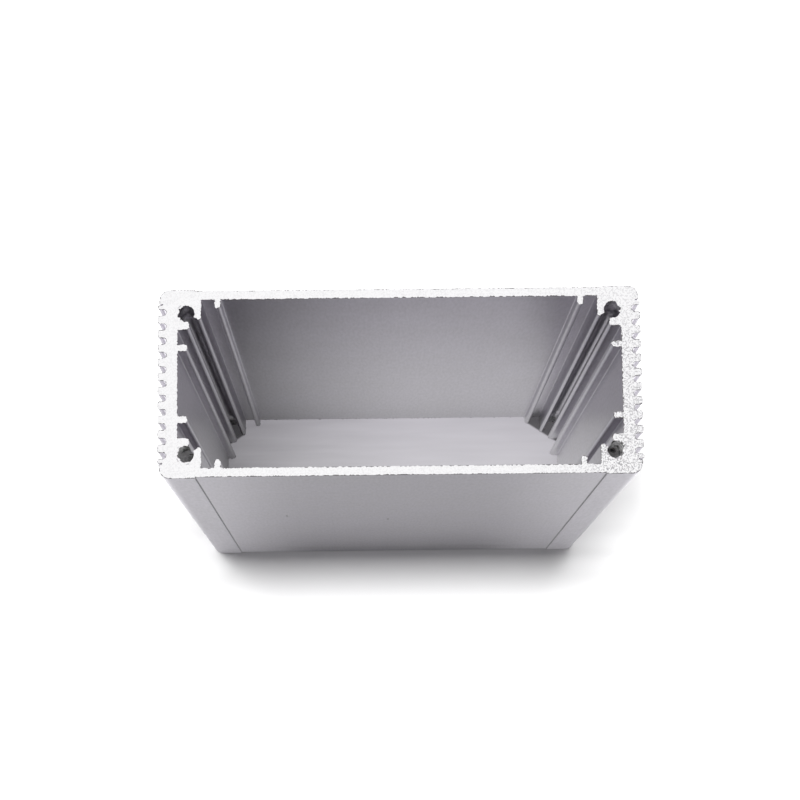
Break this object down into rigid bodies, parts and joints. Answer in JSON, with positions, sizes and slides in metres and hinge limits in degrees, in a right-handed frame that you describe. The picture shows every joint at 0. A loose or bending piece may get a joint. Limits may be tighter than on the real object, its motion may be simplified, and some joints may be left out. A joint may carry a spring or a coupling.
{
  "type": "extruded aluminium enclosure",
  "caption": "One-piece extruded aluminium enclosure tube, open at both ends, with finned sides, board slots and corner screw channels.",
  "frame": {"origin": "centre of the lower end, on the surface it stands on", "axes": "+Z along the extrusion, X across the clear width, Y across the clear depth"},
  "size_m": [0.0654, 0.0256, 0.11],
  "materials": {
    "anodised_aluminium": "satin silver anodised, with bare sawn ends"
  },
  "bodies": {
    "root": {"extruded_body": "anodised_aluminium"}
  },
  "joints": []
}
